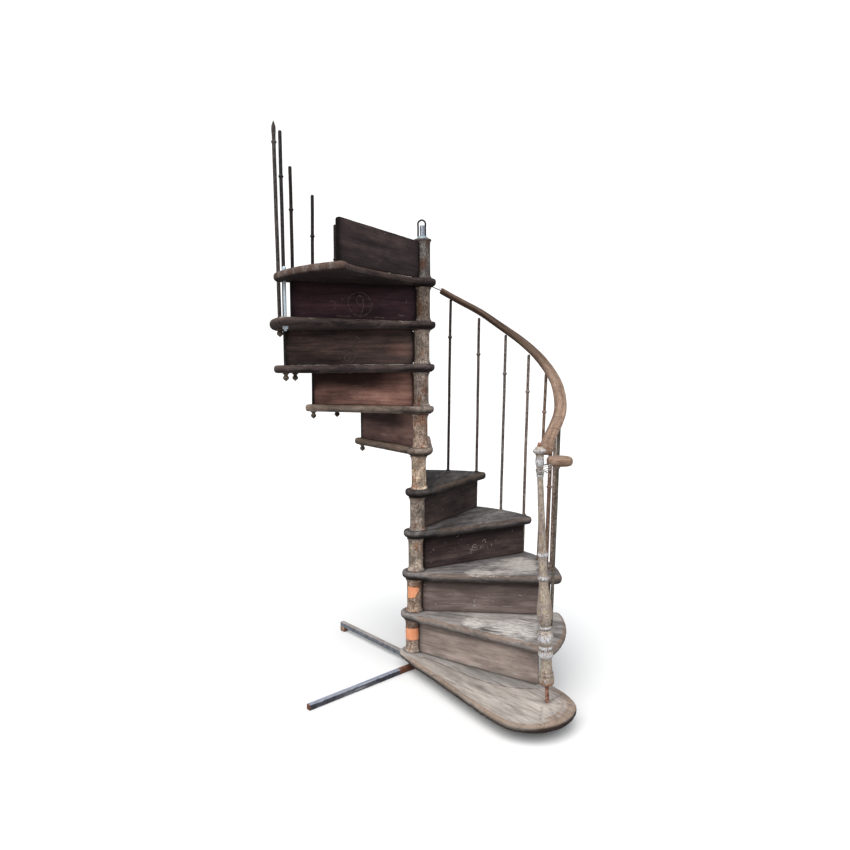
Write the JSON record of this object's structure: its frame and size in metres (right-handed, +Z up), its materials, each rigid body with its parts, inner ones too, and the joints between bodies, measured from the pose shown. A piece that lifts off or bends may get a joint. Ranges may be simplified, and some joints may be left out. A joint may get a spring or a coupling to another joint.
{
  "type": "spiral staircase",
  "caption": "Worn antique spiral staircase of wooden treads and risers around a cast iron column, with iron balusters, part of a wooden handrail and a turned newel.",
  "frame": {"origin": "on the floor, on the axis of the lowest column drum, where the two base bars cross", "axes": "+Z up; +X to the right and +Y to the back when the stair is seen with its starting step at the front right; the climb turns anticlockwise seen from above"},
  "size_m": [1.4147, 1.446, 2.637],
  "materials": {
    "tread_wood_worn": "matte",
    "tread_wood_dark": "matte",
    "riser_wood": "matte",
    "cast_column": "matte",
    "dark_iron": "satin",
    "new_steel": "satin",
    "rail_wood": "satin",
    "newel_paint": "matte",
    "rusty_steel": "matte",
    "base_steel": "satin"
  },
  "bodies": {
    "root": {"tread_1": "tread_wood_worn", "tread_2": "tread_wood_worn", "tread_3": "tread_wood_worn", "tread_4": "tread_wood_worn", "tread_5": "tread_wood_worn", "tread_6": "tread_wood_dark", "tread_7": "tread_wood_dark", "tread_8": "tread_wood_dark", "tread_9": "tread_wood_dark", "tread_10": "tread_wood_dark", "riser_1": "riser_wood", "riser_2": "riser_wood", "riser_3": "riser_wood", "riser_4": "riser_wood", "riser_5": "riser_wood", "riser_6": "riser_wood", "riser_7": "riser_wood", "riser_8": "riser_wood", "riser_9": "riser_wood", "riser_10": "riser_wood", "drum_1": "cast_column", "drum_2": "cast_column", "drum_3": "cast_column", "drum_4": "cast_column", "drum_5": "cast_column", "drum_6": "cast_column", "drum_7": "cast_column", "drum_8": "cast_column", "drum_9": "cast_column", "drum_10": "cast_column", "centre_rod": "new_steel", "top_washer": "new_steel", "lifting_eye": "dark_iron", "balusters_lower": "dark_iron", "balusters_upper": "dark_iron", "baluster_finials": "dark_iron", "tie_bolt": "new_steel", "handrail": "rail_wood", "handrail_scroll": "rail_wood", "handrail_core": "dark_iron", "newel_post": "newel_paint", "newel_rod": "rusty_steel", "wire_lashing": "new_steel", "base_bar_low": "base_steel", "base_bar_high": "base_steel", "base_feet": "base_steel"}
  },
  "joints": []
}
